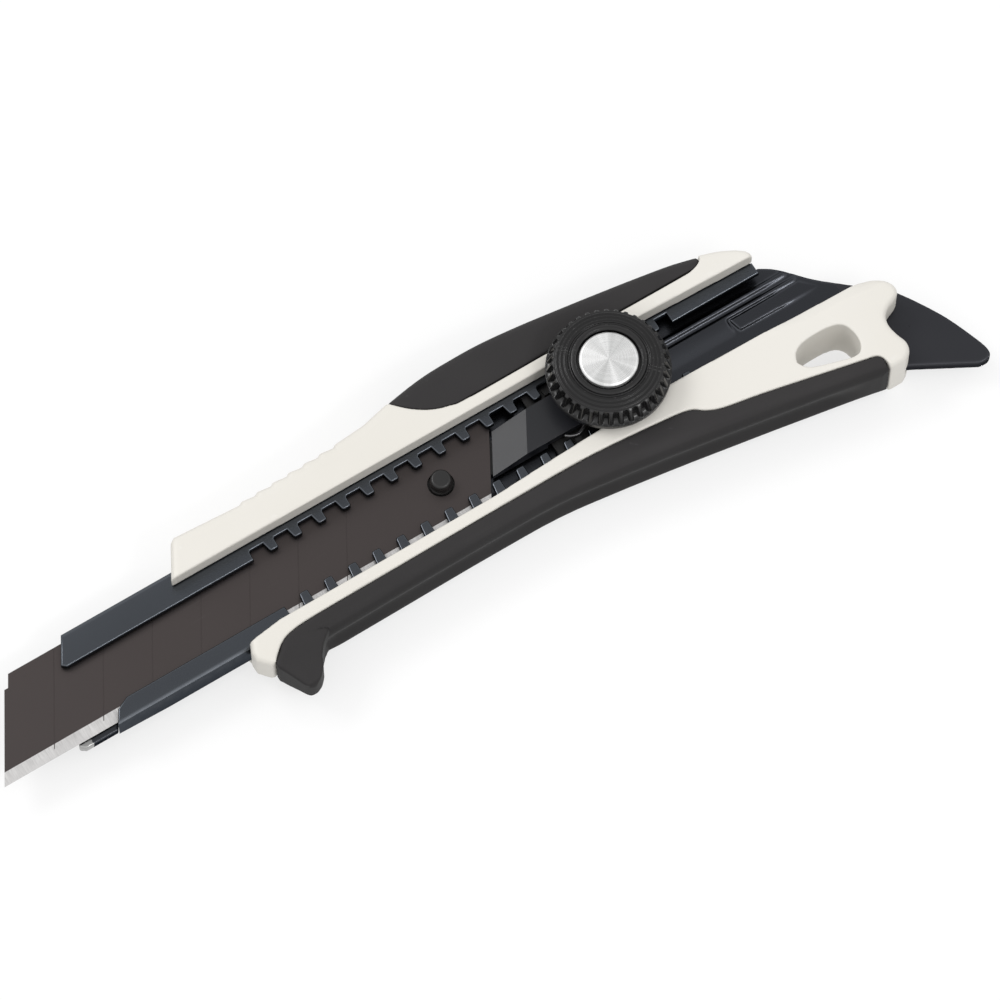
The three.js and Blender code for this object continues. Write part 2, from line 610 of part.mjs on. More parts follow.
// ---- Dial ----
function makeFrictionWasher() {
  const disc = rod(DIAL_X, 0, BOSS_TOP + 0.1, BOSS_TOP + 0.4, BOSS_R - 0.2, 40);
  return disc.subtract(rod(DIAL_X, 0, 12, 13, STUD_R + 0.3, 24));
}

function makeLockDial() {
  const profile = [
    [0, DIAL_BOTTOM], [DIAL_R - 0.3, DIAL_BOTTOM], [DIAL_R, DIAL_BOTTOM + 0.3],
    [DIAL_R, DIAL_BOTTOM + 0.8], [DIAL_R - 0.1, DIAL_BOTTOM + 1], [DIAL_TOP_R + 0.1, 16.9],
    [DIAL_TOP_R - 0.4, 17.2], [9, 17.3], [8.9, 17.6], [7.8, 17.7], [7.7, 17.9], [6.9, 18.1],
    [6.2, 18.1], [5.8, 17.5], [0, 17.5],
  ];
  let dial = turned(DIAL_X, 0, profile, 72);
  for (let i = 0; i < SCALLOPS; i++) {
    const angle = (2 * Math.PI * i) / SCALLOPS;
    const x = DIAL_X + (DIAL_R + 0.25) * Math.cos(angle);
    const y = (DIAL_R + 0.25) * Math.sin(angle);
    dial = dial.subtract(rod(x, y, DIAL_BOTTOM + 1.1, 19, 0.62, 8));
  }
  dial = dial.subtract(rod(DIAL_X, 0, 12, 19, 3.6, 6));
  return dial.subtract(rod(DIAL_X, 0, 17, 19, CAP_R + GAP, 40));
}

function makeDialNut() {
  const nut = rod(DIAL_X, 0, DIAL_BOTTOM, 16.8, 3.3, 6);
  return nut.subtract(rod(DIAL_X, 0, 12, 18, STUD_R + 0.06, 24));
}

function makeDialCap() {
  const profile = [
    [0, 17.1], [CAP_R, 17.1], [CAP_R, CAP_TOP - 0.4], [CAP_R - 0.3, CAP_TOP - 0.2],
    [2.6, CAP_TOP - 0.05], [0, CAP_TOP],
  ];
  return turned(DIAL_X, 0, profile, 48);
}

// ---- Assembly ----
function bodyGroup(...meshes) {
  const group = new THREE.Group();
  group.add(...meshes);
  return group;
}

const knife = new THREE.Group();
knife.add(
  bodyGroup(
    meshOf("handle_body", makeHandleBody(), shellPlastic),
    meshOf("upper_grip", makeUpperGrip(), elastomer),
    meshOf("lower_grip", makeLowerGrip(), elastomer),
    meshOf("blade_holder", makeBladeHolder(), coatedSteel),
    meshOf("spine_plate", makeSpinePlate(), coatedSteel),
    ...SCREWS_X.map((x, i) => meshOf(`handle_screw_${i + 1}`, makeHandleScrew(x), brightSteel)),
  ),
  bodyGroup(
    meshOf("slider_block", makeSliderBlock(), blackPlastic),
    meshOf("slider_carrier", makeSliderCarrier(), coatedSteel),
    meshOf("blade_pin", makeBladePin(), coatedSteel),
    meshOf("blade", makeBlade(), bladeSteel),
    meshOf("click_spring", makeClickSpring(), brightSteel),
    meshOf("release_spring", makeReleaseSpring(), brightSteel),
    meshOf("friction_washer", makeFrictionWasher(), brass),
  ),
  bodyGroup(
    meshOf("clamp_plate", makeClampPlate(), coatedSteel),
    meshOf("clamp_stud", makeClampStud(), brightSteel),
  ),
  bodyGroup(
    meshOf("lock_dial", makeLockDial(), blackPlastic),
    meshOf("dial_nut", makeDialNut(), brass),
    meshOf("dial_cap", makeDialCap(), brightSteel),
  ),
);

export default knife;
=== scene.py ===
"""A snap-off knife with a screw-lock dial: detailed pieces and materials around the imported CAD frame.

Lengths are written in millimetres and turned into metres by MM. The lights and the floor are in
metres. +X runs from the blade's tip to the fin, +Y towards the blade's spine, +Z out of the dial side.
"""

import math

import bmesh
import bpy
import numpy as np
from mathutils import Matrix, Vector


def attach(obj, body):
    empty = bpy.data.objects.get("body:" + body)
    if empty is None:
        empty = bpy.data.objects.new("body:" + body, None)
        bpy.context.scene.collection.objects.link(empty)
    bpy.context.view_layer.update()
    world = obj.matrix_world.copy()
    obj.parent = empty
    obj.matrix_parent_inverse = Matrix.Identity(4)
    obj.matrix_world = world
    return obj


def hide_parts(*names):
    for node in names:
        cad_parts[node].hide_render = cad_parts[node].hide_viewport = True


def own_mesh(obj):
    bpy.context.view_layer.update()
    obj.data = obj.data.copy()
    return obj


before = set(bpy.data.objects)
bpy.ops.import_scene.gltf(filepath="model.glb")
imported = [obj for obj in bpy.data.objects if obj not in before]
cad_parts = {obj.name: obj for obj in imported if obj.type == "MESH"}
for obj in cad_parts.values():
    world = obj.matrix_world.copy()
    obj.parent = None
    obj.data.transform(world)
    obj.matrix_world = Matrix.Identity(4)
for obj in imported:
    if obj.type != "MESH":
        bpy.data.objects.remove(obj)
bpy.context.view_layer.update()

MM = 0.001

# ---- View ----
AZIMUTH = math.radians(31.56)  # from -Y round towards the tip
ELEVATION = math.radians(66.76)
ROLL = math.radians(-0.41)
DISTANCE = 1101.4
LENS = 223.2
AIM = (1.97, -8.59, 6.4)

# ---- Light ----
SKY_GLOW = (0.42, 1.22)  # at the horizon and overhead
SKY_FULL_HEIGHT = 0.7  # a direction's height from which the sky is at its brightest
PANEL_DIRECTION = (0.206, 0.336, 0.919)  # what level faces mirror to the camera
PANEL_EDGE = (0.85, 0.97)  # cosines of the angles from its middle to its faint and its full edge
PANEL_SHARE = 0.45  # of the sky's light

# ---- Finishes ----
# Marks in a metre:
BLOTCHES = 24.0
GLOSS_PATCHES = 70.0
RUBBED_PATCHES = 700.0
SCRATCHES = (40, 1500, 1500)  # along X, Y and Z
CAP_RINGS = 9000.0
GRINDING_LINES = 7000.0
# Shares:
WORN_POINTINESS = (0.55, 0.65)  # where an edge starts to be rubbed and is fully rubbed
# Where the painted shade on upright faces fades from full to none:
UPRIGHT_Z = (0.2, 0.85)  # a normal's height on a fully upright face and on a level one

# ---- Sizes of the CAD model ----
DIAL_X = 30.1
DIAL_BOTTOM = 12.9
DIAL_R = 11.3
DIAL_TOP_R = 10.2
SCALLOPS = 36
CAP_R = 5.3
CAP_TOP = 18.4
PIN_X, PIN_Y = -5.3, -0.4
BEVEL_EDGE_Y = -9 + 2.3
BLADE_TOP = 6.4
SCORE_DEPTH = 0.09
LIP_TOP = 7.8
WIRE_Z = 8.2
WIRE_R = 0.3
COIL_R = 3.4
COIL_TURNS = 2

# ---- Sizes of the finer shapes ----
FLAT_DEGREES = 0.4  # CAD faces that meet flatter than this become one
SKIN_VOXEL = 0.22
CORE_VOXEL = 0.2
SEAM_REACH = 0.24  # how far a grip grows sideways, towards the shell
CREASE_X = (58.7, 65.8, 75.8, 79)
CREASE_Y = (-8.2, -9.6, -10.0, -10.6)
CREASE_FADE = 4.0  # the length over which it starts
CREASE_SLOPE = 0.34
CREASE_WIDTH = 2.5
CREASE_FOOT, CREASE_HEIGHT = 7.0, 2.0  # the slope fades in over this height from its foot
RIDGE_Y = 3.0  # the upper ridge lies beyond it
HOLLOW_DEPTH = 0.8  # of the lower grip's flank
HOLLOW_Z = 5.6
HOLLOW_HALF = 3.6  # of its height
HOLLOW_FRONT, HOLLOW_BACK = -42.0, 70.0
FLANK_GAIN = 1.6  # how soon a face that turns outward counts as flank
LIP_ROUND = 0.3
RAILS_X = 22.0  # the core's rails and fin lie beyond it
RAILS_PASSES = 16
FIN_X = 76.0  # the fin's rougher coating starts here
TONGUE_BRIGHT_X, TONGUE_BRIGHT_Y = -82.6, -9.0  # the tongue's bare tip lies beyond them
SHOWN_SCORE_DEPTH = 0.035  # shallower than the CAD model's scores
COIL_WIRE_R = 0.2
COIL_BOTTOM, COIL_TOP = 6.5, 7.7
COIL_STEPS = 64
SCALLOP_TOP = 16.9
SCALLOP_RUNOUT = 0.3  # how far a scallop runs on above its top
SCALLOP_HALF, SCALLOP_WALL = 0.33, 0.12  # half its width and its wall, as shares of the pitch
SCALLOP_FADE = 0.25  # the height over which it starts
SCALLOP_DEPTH = 0.3  # under the dial's top radius
FLOOR_HALF, FLOOR_Z = 3.0, -0.0003  # in metres


def world_setup():
    """A studio that is brightest overhead, dim towards the horizon, with one dark panel above."""
    world = bpy.data.worlds.new("studio")
    bpy.context.scene.world = world
    world.use_nodes = True
    tree = world.node_tree
    sky = tree.nodes["Background"]
    direction = node(tree, "TexCoord").outputs["Generated"]
    height = node(tree, "SeparateXYZ", {"Vector": direction}).outputs["Z"]
    near_panel = node(tree, "VectorMath", {0: direction, 1: PANEL_DIRECTION},
                      operation="DOT_PRODUCT").outputs["Value"]
    glow = product(tree, ranged(tree, height, 0.0, SKY_FULL_HEIGHT, *SKY_GLOW),
                   ranged(tree, near_panel, *PANEL_EDGE, 1.0, PANEL_SHARE))
    sky.inputs["Color"].default_value = (1.0, 1.0, 1.0, 1.0)
    plug(tree, sky.inputs["Strength"], glow)
    bpy.context.scene.view_settings.view_transform = "Standard"


def camera():
    lens = bpy.data.cameras.new("camera")
    lens.lens = LENS
    lens.sensor_width = 36
    lens.clip_start = 0.05
    lens.clip_end = 20
    eye = bpy.data.objects.new("camera", lens)
    bpy.context.scene.collection.objects.link(eye)
    back = Vector((-math.cos(ELEVATION) * math.sin(AZIMUTH),
                   -math.cos(ELEVATION) * math.cos(AZIMUTH), math.sin(ELEVATION)))
    right = Vector((math.cos(AZIMUTH), -math.sin(AZIMUTH), 0))
    up = back.cross(right)
    turned_right = math.cos(ROLL) * right + math.sin(ROLL) * up
    turned_up = -math.sin(ROLL) * right + math.cos(ROLL) * up
    turn = Matrix((turned_right, turned_up, back)).transposed().to_4x4()
    eye.matrix_world = Matrix.Translation((Vector(AIM) + DISTANCE * back) * MM) @ turn
    bpy.context.scene.camera = eye


def softbox(name, place, size, power):
    """A white area light that is aimed at the origin."""
    lamp = bpy.data.lights.new(name, "AREA")
    lamp.shape = "RECTANGLE"
    lamp.size, lamp.size_y = size
    lamp.energy = power
    holder = bpy.data.objects.new(name, lamp)
    bpy.context.scene.collection.objects.link(holder)
    holder.location = place
    holder.rotation_euler = (-Vector(place)).to_track_quat("-Z", "Y").to_euler()


# ---- Node helpers ----
def node(tree, kind, inputs=None, **settings):
    made = tree.nodes.new("ShaderNode" + kind)
    for key, value in settings.items():
        setattr(made, key, value)
    for key, value in (inputs or {}).items():
        plug(tree, made.inputs[key], value)
    return made


def plug(tree, socket, value):
    if isinstance(value, bpy.types.NodeSocket):
        tree.links.new(value, socket)
    else:
        socket.default_value = value


def blank_material(name):
    material = bpy.data.materials.new(name)
    material.use_nodes = True
    tree = material.node_tree
    return material, tree, tree.nodes["Principled BSDF"]


def rgba(color):
    return (*color, 1.0)


def mapped(tree, stretch):
    coords = node(tree, "TexCoord")
    return node(tree, "Mapping", {"Vector": coords.outputs["Object"], "Scale": stretch}).outputs["Vector"]


def noise(tree, where, per_metre, detail=4.0, rough=0.55):
    return node(tree, "TexNoise", {
        "Vector": where, "Scale": per_metre, "Detail": detail, "Roughness": rough,
    }).outputs["Fac"]


def ranged(tree, value, low, high, out_low, out_high):
    return node(tree, "MapRange", {
        "Value": value, "From Min": low, "From Max": high, "To Min": out_low, "To Max": out_high,
    }).outputs["Result"]


def mixed(tree, share, a, b):
    made = node(tree, "Mix", data_type="RGBA")
    plug(tree, made.inputs[0], share)
    plug(tree, made.inputs[6], a)
    plug(tree, made.inputs[7], b)
    return made.outputs[2]


def product(tree, a, b):
    made = node(tree, "Math", operation="MULTIPLY")
    plug(tree, made.inputs[0], a)
    plug(tree, made.inputs[1], b)
    return made.outputs[0]


def bumped(tree, height, distance, under=None):
    made = node(tree, "Bump", {"Height": height, "Distance": distance})
    if under is not None:
        plug(tree, made.inputs["Normal"], under)
    return made.outputs["Normal"]


def surface(name, dark, light, rough, grain, metal=0.0, worn=None, wear=0.5, grain_height=0.02,
            specular=0.5, scratched=0.0, edge_tint=None, painted_flank_shade=1.0):
    """A moulded or coated finish. dark and light are its two shades, rough its lowest and highest
    roughness, grain the number of grains in a metre, worn the colour of rubbed edges, scratched
    the share of it in the fine marks along the slide, and the flank shade the share of the dark colour
    left on upright faces, a painted shade which makes up for the bright floor's light on them."""
    material, tree, shader = blank_material(name)
    where = mapped(tree, (1, 1, 1))
    patches = noise(tree, where, BLOTCHES, 3.0)
    fine = noise(tree, where, grain, 2.0)
    color = mixed(tree, ranged(tree, patches, 0.35, 0.65, 0, 1), rgba(dark), rgba(light))
    color = mixed(tree, ranged(tree, fine, 0.60, 0.72, 0, 0.2), color, rgba(light))
    # Painted shade: upright faces are darkened to a share of the dark colour, as if less light fell on
    # them.
    if painted_flank_shade < 1:
        facing = node(tree, "SeparateXYZ", {"Vector": node(tree, "NewGeometry").outputs["Normal"]})
        upright = ranged(tree, facing.outputs["Z"], *UPRIGHT_Z, 1, 0)
        color = mixed(tree, upright, color, rgba([painted_flank_shade * part for part in dark]))
    normal = bumped(tree, fine, grain_height * MM)
    if scratched > 0:
        lines = noise(tree, mapped(tree, SCRATCHES), 1.0, 3.0, 0.6)
        marks = product(tree, ranged(tree, lines, 0.66, 0.72, 0, 1), ranged(
            tree, noise(tree, where, GLOSS_PATCHES), 0.5, 0.62, 0, scratched))
        color = mixed(tree, marks, color, rgba(worn))
        normal = bumped(tree, marks, 0.003 * MM, normal)
    if worn is not None:
        geometry = node(tree, "NewGeometry")
        edges = ranged(tree, geometry.outputs["Pointiness"], *WORN_POINTINESS, 0, 1)
        uneven = ranged(tree, noise(tree, where, RUBBED_PATCHES), 0.35, 0.65, 0.3, 1)
        rubbed = product(tree, edges, uneven)
        color = mixed(tree, product(tree, rubbed, wear), color, rgba(worn))
    plug(tree, shader.inputs["Base Color"], color)
    gloss = noise(tree, where, GLOSS_PATCHES)
    plug(tree, shader.inputs["Roughness"], ranged(tree, gloss, 0.3, 0.7, *rough))
    plug(tree, shader.inputs["Normal"], normal)
    shader.inputs["Metallic"].default_value = metal
    shader.inputs["Specular IOR Level"].default_value = specular
    if edge_tint is not None:
        shader.inputs["Specular Tint"].default_value = rgba(edge_tint)
    return material


def spun_metal():
    """The dial's cap: turned metal with fine rings and a sheen that runs out from the centre, and
    painted sheen: its colour is lighter and darker in wedges round the centre.
    """
    material, tree, shader = blank_material("cap_metal")
    coords = node(tree, "TexCoord")
    centred = node(tree, "Mapping", {
        "Vector": coords.outputs["Object"], "Location": (-DIAL_X * MM, 0, 0),
    }).outputs["Vector"]
    parts = node(tree, "SeparateXYZ", {"Vector": centred})
    flat = node(tree, "CombineXYZ", {"X": parts.outputs["X"], "Y": parts.outputs["Y"]}).outputs[0]
    radius = node(tree, "VectorMath", {0: flat}, operation="LENGTH").outputs["Value"]
    angle = node(tree, "Math", {0: parts.outputs["Y"], 1: parts.outputs["X"]}, operation="ARCTAN2")
    around = node(tree, "CombineXYZ", {
        "X": product(tree, radius, CAP_RINGS), "Y": product(tree, angle.outputs[0], 0.6),
    }).outputs[0]
    rings = noise(tree, around, 1.0, 5.0, 0.7)
    # Painted sheen: the colour runs from dull to bright in wedges round the centre, like sectors of
    # reflection.
    sheen_wedge_place = node(tree, "CombineXYZ", {"X": product(tree, angle.outputs[0], 0.5)}).outputs[0]
    painted_sheen_wedges = noise(tree, sheen_wedge_place, 1.3, 4.0, 0.6)
    color = mixed(tree, ranged(tree, painted_sheen_wedges, 0.4, 0.6, 0, 1), rgba((0.50, 0.505, 0.50)),
                  rgba((0.95, 0.95, 0.945)))
    color = mixed(tree, ranged(tree, rings, 0.3, 0.7, 0, 0.25), color, rgba((0.97, 0.97, 0.965)))
    plug(tree, shader.inputs["Base Color"], color)
    plug(tree, shader.inputs["Roughness"], ranged(tree, rings, 0.3, 0.7, 0.2, 0.34))
    plug(tree, shader.inputs["Normal"], bumped(tree, rings, 0.004 * MM))
    shader.inputs["Metallic"].default_value = 0.6
    shader.inputs["Anisotropic"].default_value = 0.7
    tangent = node(tree, "Tangent", direction_type="RADIAL", axis="Z")
    plug(tree, shader.inputs["Tangent"], tangent.outputs[0])
    return material


def ground_edge():
    """The blade's ground edge: bright, with fine lines across it."""
    material, tree, shader = blank_material("ground_edge")
    lines = noise(tree, mapped(tree, (1, 0.05, 0.05)), GRINDING_LINES, 4.0, 0.7)
    patches = noise(tree, mapped(tree, (1, 1, 1)), 180.0)
    color = mixed(tree, ranged(tree, lines, 0.35, 0.65, 0, 1), rgba((0.56, 0.55, 0.545)),
                  rgba((0.70, 0.69, 0.685)))
    color = mixed(tree, ranged(tree, patches, 0.4, 0.7, 0, 0.3), color, rgba((0.52, 0.51, 0.505)))
    plug(tree, shader.inputs["Base Color"], color)
    plug(tree, shader.inputs["Roughness"], ranged(tree, lines, 0.3, 0.7, 0.3, 0.48))
    plug(tree, shader.inputs["Normal"], bumped(tree, lines, 0.004 * MM))
    shader.inputs["Metallic"].default_value = 0.85
    return material


def light_table():
    """The pale sheet that the knife lies on. It glows, so that it looks white with a faint shadow."""
    material, tree, shader = blank_material("floor_sheet")
    where = mapped(tree, (1, 1, 1))
    fibres = noise(tree, where, 900.0, 2.0)
    clouds = noise(tree, where, 6.0, 2.0)
    color = mixed(tree, ranged(tree, clouds, 0.35, 0.65, 0, 1), rgba((0.265, 0.265, 0.265)),
                  rgba((0.275, 0.275, 0.275)))
    plug(tree, shader.inputs["Base Color"], color)
    plug(tree, shader.inputs["Roughness"], ranged(tree, fibres, 0.3, 0.7, 0.85, 0.95))
    plug(tree, shader.inputs["Normal"], bumped(tree, fibres, 0.008 * MM))
    plug(tree, shader.inputs["Emission Color"], color)
    shader.inputs["Emission Strength"].default_value = 2.5
    shader.inputs["Specular IOR Level"].default_value = 0.1
    return material


def make_materials():
    return {
        # The shell's and the grip's flank shares paint shade on their upright faces.
        "shell": surface("shell_plastic", (0.640, 0.618, 0.570), (0.665, 0.645, 0.602), (0.40, 0.46),
                         2600, worn=(0.72, 0.71, 0.68), wear=0.3, grain_height=0.006, specular=0.3,
                         painted_flank_shade=0.93),
        "grip": surface("grip_elastomer", (0.0185, 0.0170, 0.0175), (0.0225, 0.0208, 0.0214),
                        (0.64, 0.72), 3200, worn=(0.05, 0.049, 0.05), wear=0.4,
                        grain_height=0.020, specular=0.3, painted_flank_shade=0.55),
        "holder": surface("coated_steel", (0.088, 0.096, 0.109), (0.094, 0.103, 0.117),
                          (0.25, 0.27), 2400, metal=1.0, worn=(0.24, 0.25, 0.26), wear=0.15,
                          grain_height=0.0012, scratched=0.05, edge_tint=(0.3, 0.3, 0.3)),
        "core": surface("core_coating", (0.050, 0.053, 0.060), (0.055, 0.058, 0.066), (0.25, 0.28),
                        2600, metal=1.0, worn=(0.15, 0.155, 0.165), wear=0.05,
                        grain_height=0.0015, edge_tint=(0.3, 0.3, 0.3)),
        "fin": surface("fin_coating", (0.046, 0.047, 0.053), (0.051, 0.052, 0.058),
                       (0.40, 0.44), 2800, metal=1.0, worn=(0.12, 0.125, 0.135), wear=0.1,
                       grain_height=0.004, edge_tint=(0.25, 0.25, 0.25)),
        "blade": surface("blade_coating", (0.0790, 0.0680, 0.0665), (0.0815, 0.0702, 0.0688),
                         (0.38, 0.39), 2600, metal=1.0, worn=(0.15, 0.14, 0.135), wear=0,
                         grain_height=0.001, scratched=0.15, edge_tint=(0.3, 0.3, 0.3)),
        "ground": ground_edge(),
        "black": surface("black_plastic", (0.0045, 0.0050, 0.0075), (0.0065, 0.0070, 0.0098),
                         (0.34, 0.38), 2800, worn=(0.05, 0.05, 0.055), wear=0.4,
                         grain_height=0.004, specular=0.55),
        "dial": surface("dial_plastic", (0.0036, 0.0034, 0.0036), (0.0056, 0.0053, 0.0056),
                        (0.22, 0.27), 3000, worn=(0.07, 0.068, 0.068), wear=0.6,
                        grain_height=0.003, specular=0.5),
        "steel": surface("bright_steel", (0.33, 0.33, 0.33), (0.45, 0.45, 0.44), (0.24, 0.30),
                         1800, metal=1.0, worn=(0.7, 0.7, 0.7), grain_height=0.003, scratched=0.3),
        "wire": surface("spring_wire", (0.14, 0.14, 0.145), (0.19, 0.19, 0.195), (0.26, 0.32),
                        1800, metal=1.0, worn=(0.4, 0.4, 0.4), grain_height=0.002),
        "brass": surface("brass_fittings", (0.45, 0.33, 0.13), (0.55, 0.42, 0.20), (0.24, 0.4),
                         1800, metal=1.0, worn=(0.72, 0.60, 0.36), grain_height=0.003),
        "pin": surface("pin_steel", (0.0100, 0.0095, 0.0095), (0.0145, 0.0140, 0.0140), (0.32, 0.38),
                       2400, worn=(0.08, 0.08, 0.08), wear=0.6, grain_height=0.004, specular=0.45),
        "cap": spun_metal(),
        "floor": light_table(),
    }


# ---- Mesh helpers ----
def linked(name, mesh, *materials):
    piece = bpy.data.objects.new(name, mesh)
    bpy.context.scene.collection.objects.link(piece)
    for material in materials:
        mesh.materials.append(material)
    return piece


def from_bmesh(name, bm, *materials):
    mesh = bpy.data.meshes.new(name)
    bmesh.ops.recalc_face_normals(bm, faces=bm.faces)
    bm.to_mesh(mesh)
    bm.free()
    return linked(name, mesh, *materials)


def whole_faces(cad_node):
    """The CAD node's shape with its flat regions as whole faces."""
    bm = bmesh.new()
    bm.from_mesh(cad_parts[cad_node].data)
    for layers in (bm.loops.layers.uv, bm.loops.layers.float_vector, bm.loops.layers.float_color):
        for layer in list(layers.values()):
            layers.remove(layer)
    bmesh.ops.remove_doubles(bm, verts=bm.verts, dist=1e-6)
    bmesh.ops.dissolve_limit(bm, angle_limit=math.radians(FLAT_DEGREES), verts=bm.verts,
                             edges=bm.edges, use_dissolve_boundaries=False)
    return bm


def cad_copy(cad_node, name, *materials):
    """A new piece with the CAD node's shape and normals of its own."""
    piece = from_bmesh(name, whole_faces(cad_node), *materials)
    attributes = piece.data.attributes
    for old in [a.name for a in attributes if a.name in ("custom_normal", "sharp_face")]:
        attributes.remove(attributes[old])
    return piece


def settle(piece):
    """The piece's modifiers become its mesh."""
    graph = bpy.context.evaluated_depsgraph_get()
    graph.update()
    made = bpy.data.meshes.new_from_object(piece.evaluated_get(graph))
    piece.modifiers.clear()
    piece.data = made
    return piece


def smooth_shaded(piece):
    piece.data.polygons.foreach_set("use_smooth", [True] * len(piece.data.polygons))
    return piece


def flat_shaded(piece):
    """Every face is lit as the plane it is."""
    piece.data.attributes.remove(piece.data.attributes["custom_normal"])
    piece.data.polygons.foreach_set("use_smooth", [False] * len(piece.data.polygons))


def rounded_edges(piece, width, segments=2, degrees=32):
    """Every edge sharper than degrees gets a small round of that width."""
    smooth_shaded(piece)
    bevel = piece.modifiers.new("edges", "BEVEL")
    bevel.width = width * MM
    bevel.segments = segments
    bevel.limit_method = "ANGLE"
    bevel.angle_limit = math.radians(degrees)
    bevel.use_clamp_overlap = True
    bevel.miter_outer = "MITER_ARC"
    weighted = piece.modifiers.new("normals", "WEIGHTED_NORMAL")
    weighted.keep_sharp = True
    return settle(piece)


def eased(piece, width, chosen, segments=4):
    """The chosen edges get a round of that width."""
    bm = bmesh.new()
    bm.from_mesh(piece.data)
    picked = [edge for edge in bm.edges if len(edge.link_faces) == 2 and chosen(edge)]
    bmesh.ops.bevel(bm, geom=picked, offset=width * MM, segments=segments, profile=0.5,
                    affect="EDGES", clamp_overlap=False)
    bm.to_mesh(piece.data)
    bm.free()


def level_at(edge, height):
    """Whether a sharp edge lies flat at that height."""
    level = all(abs(vert.co.z / MM - height) < 0.02 for vert in edge.verts)
    return level and edge.calc_face_angle() > math.radians(50)


def soften(piece, passes, group=""):
    """The piece, or one vertex group of it, is smoothed."""
    soft = piece.modifiers.new("soft", "SMOOTH")
    soft.factor = 0.5
    soft.iterations = passes
    soft.vertex_group = group
    settle(piece)


def moulded(piece, voxel, passes, reshape=None, most_triangles=180000):
    """The shape remade as one even skin with soft edges. reshape may move its points."""
    remesh = piece.modifiers.new("skin", "REMESH")
    remesh.mode = "VOXEL"
    remesh.voxel_size = voxel * MM
    soften(piece, passes)
    if reshape:
        reshape(piece)
    triangles = 2 * len(piece.data.polygons)
    if triangles > most_triangles:
        fewer = piece.modifiers.new("fewer", "DECIMATE")
        fewer.ratio = most_triangles / triangles
        settle(piece)
    return smooth_shaded(piece)


def vertex_values(mesh, kind):
    values = np.empty(len(mesh.vertices) * 3)
    mesh.vertices.foreach_get(kind, values)
    return values.reshape(-1, 3)


def points_of(mesh):
    return vertex_values(mesh, "co") / MM


def set_points(mesh, points):
    mesh.vertices.foreach_set("co", (points * MM).ravel())
    mesh.update()


def ramp(values, start, length):
    """From 0 at start to 1 a length further on."""
    return np.clip((values - start) / length, 0, 1)


def lathe(name, profile, columns, place, material, radius_at=None):
    """A turned piece: the profile is [radius, height] pairs. radius_at may change a ring's radius
    by angle and height."""
    bm = bmesh.new()
    rings = []
    for r, z in profile:
        if r < 1e-6:
            rings.append([bm.verts.new(Vector((place[0], place[1], z)) * MM)])
            continue
        ring = []
        for i in range(columns):
            angle = 2 * math.pi * i / columns
            reach = radius_at(r, z, angle) if radius_at else r
            point = (place[0] + reach * math.cos(angle), place[1] + reach * math.sin(angle), z)
            ring.append(bm.verts.new(Vector(point) * MM))
        rings.append(ring)
    for lower, upper in zip(rings, rings[1:]):
        for i in range(columns):
            j = (i + 1) % columns
            if len(lower) == 1:
                bm.faces.new((lower[0], upper[i], upper[j]))
            elif len(upper) == 1:
                bm.faces.new((lower[i], lower[j], upper[0]))
            else:
                bm.faces.new((lower[i], lower[j], upper[j], upper[i]))
    return smooth_shaded(from_bmesh(name, bm, material))


def round_corners(profile, radius, steps=4):
    """The profile with each corner turned into a small arc."""
    out = [profile[0]]
    for before, corner, after in zip(profile, profile[1:], profile[2:]):
        a, b, c = Vector(before), Vector(corner), Vector(after)
        reach = min(radius, (a - b).length * 0.45, (c - b).length * 0.45)
        start = b + (a - b).normalized() * reach
        end = b + (c - b).normalized() * reach
        for i in range(steps + 1):
            t = i / steps
            out.append(tuple(start * (1 - t) ** 2 + b * 2 * t * (1 - t) + end * t * t))
    out.append(profile[-1])
    return out


def refined(profile, longest):
    """The profile with long stretches split."""
    out = [profile[0]]
    for a, b in zip(profile, profile[1:]):
        parts = max(1, math.ceil(math.dist(a, b) / longest))
        out += [tuple(Vector(a).lerp(Vector(b), i / parts)) for i in range(1, parts + 1)]
    return out


def tube(name, route, radius, material, sides=14):
    """A round wire along a smooth route of points."""
    curve = bpy.data.curves.new(name, "CURVE")
    curve.dimensions = "3D"
    curve.bevel_depth = radius * MM
    curve.bevel_resolution = sides // 2
    curve.use_fill_caps = True
    spline = curve.splines.new("POLY")
    spline.points.add(len(route) - 1)
    for point, place in zip(spline.points, route):
        point.co = (*(Vector(place) * MM), 1)
    holder = bpy.data.objects.new(name + "_route", curve)
    bpy.context.scene.collection.objects.link(holder)
    graph = bpy.context.evaluated_depsgraph_get()
    mesh = bpy.data.meshes.new_from_object(holder.evaluated_get(graph))
    bpy.data.objects.remove(holder)
    mesh.name = name
    return smooth_shaded(linked(name, mesh, material))


def spline_points(points, steps):
    """Points on a Catmull-Rom curve through the given ones."""
    ends = [2 * Vector(points[0]) - Vector(points[1]), *map(Vector, points),
            2 * Vector(points[-1]) - Vector(points[-2])]
    out = []
    for a, b, c, d in zip(ends, ends[1:], ends[2:], ends[3:]):
        for i in range(steps):
            t = i / steps
            out.append(0.5 * (2 * b + (c - a) * t + (2 * a - 5 * b + 4 * c - d) * t * t
                              + (3 * b - a - 3 * c + d) * t ** 3))
    return out + [Vector(points[-1])]


def ready(piece, body, slot, *cad_nodes):
    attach(piece, body)
    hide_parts(*cad_nodes)


# ---- Handle ----
def make_shell(mats):
    shell = moulded(cad_copy("handle_body", "handle_shell", mats["shell"]), SKIN_VOXEL, 5, creased)
    ready(shell, "handle", "shell_plastic", "handle_body")


